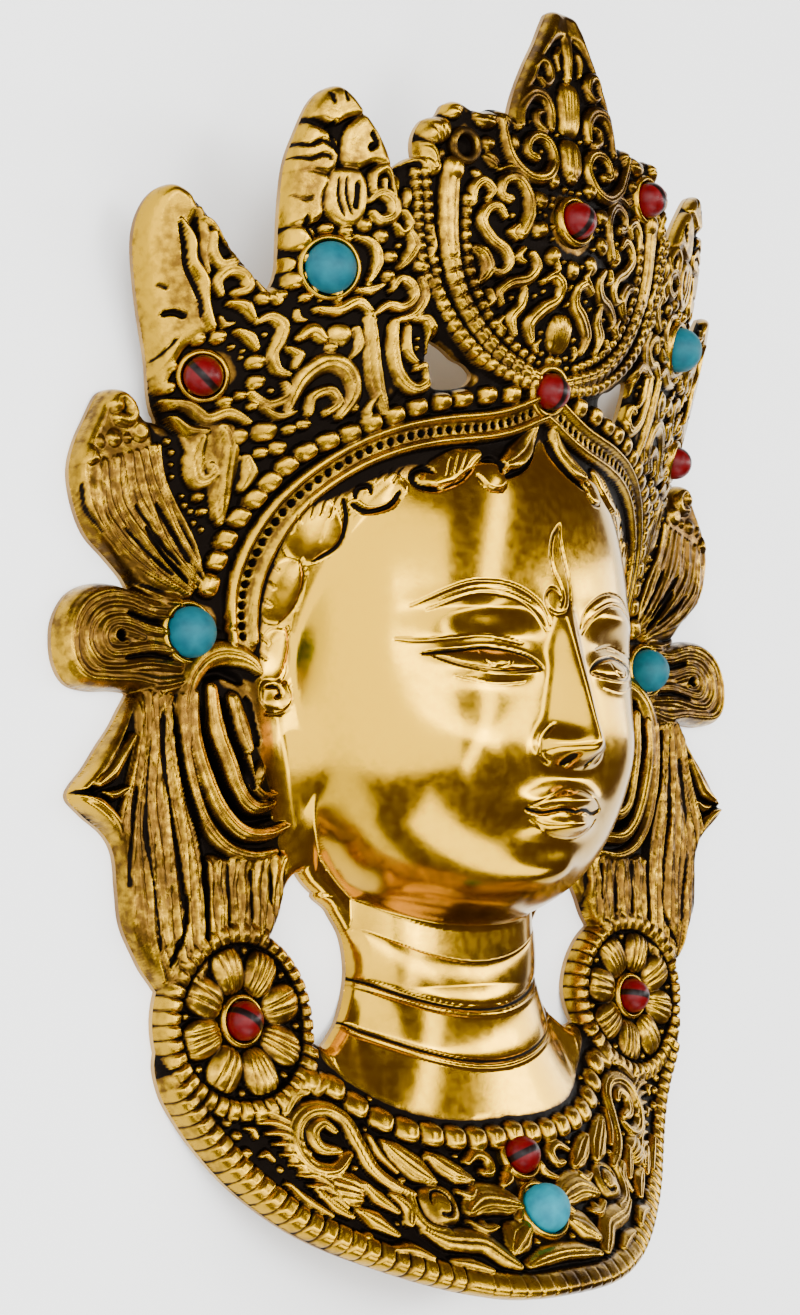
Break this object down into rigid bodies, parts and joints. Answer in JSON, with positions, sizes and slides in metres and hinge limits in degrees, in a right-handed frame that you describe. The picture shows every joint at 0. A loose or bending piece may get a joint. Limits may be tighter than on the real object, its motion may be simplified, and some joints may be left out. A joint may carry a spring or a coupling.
{
  "type": "deity mask",
  "caption": "Cast brass deity mask with a leafed crown, calm face, ear ribbons, rosettes and a flared collar, set with round turquoise and red stones, lying on its back.",
  "frame": {"origin": "middle of the whole mask seen from the front, on the plane that its flat wings rest on", "axes": "+Z out of the face, +Y towards the crown's tip, +X towards the viewer's right; the mask lies on its back"},
  "size_m": [0.2444, 0.325, 0.0661],
  "materials": {
    "antique_brass": "cast brass, polished on the face, neck and high carving, black patina in the recesses",
    "turquoise": "opaque sky-blue turquoise, satin",
    "red_stone": "dark coral-red stone, polished, with a drilled line across it"
  },
  "bodies": {
    "root": {"brass_casting": "antique_brass", "ear_turquoise_right": "turquoise", "ear_turquoise_left": "turquoise", "outer_leaf_red_right": "red_stone", "outer_leaf_red_left": "red_stone", "inner_leaf_turquoise_right": "turquoise", "inner_leaf_turquoise_left": "turquoise", "arch_end_red_right": "red_stone", "rosette_red_right": "red_stone", "rosette_red_left": "red_stone", "forehead_stone": "red_stone", "diadem_stone": "red_stone", "collar_red": "red_stone", "collar_turquoise": "turquoise"}
  },
  "joints": []
}
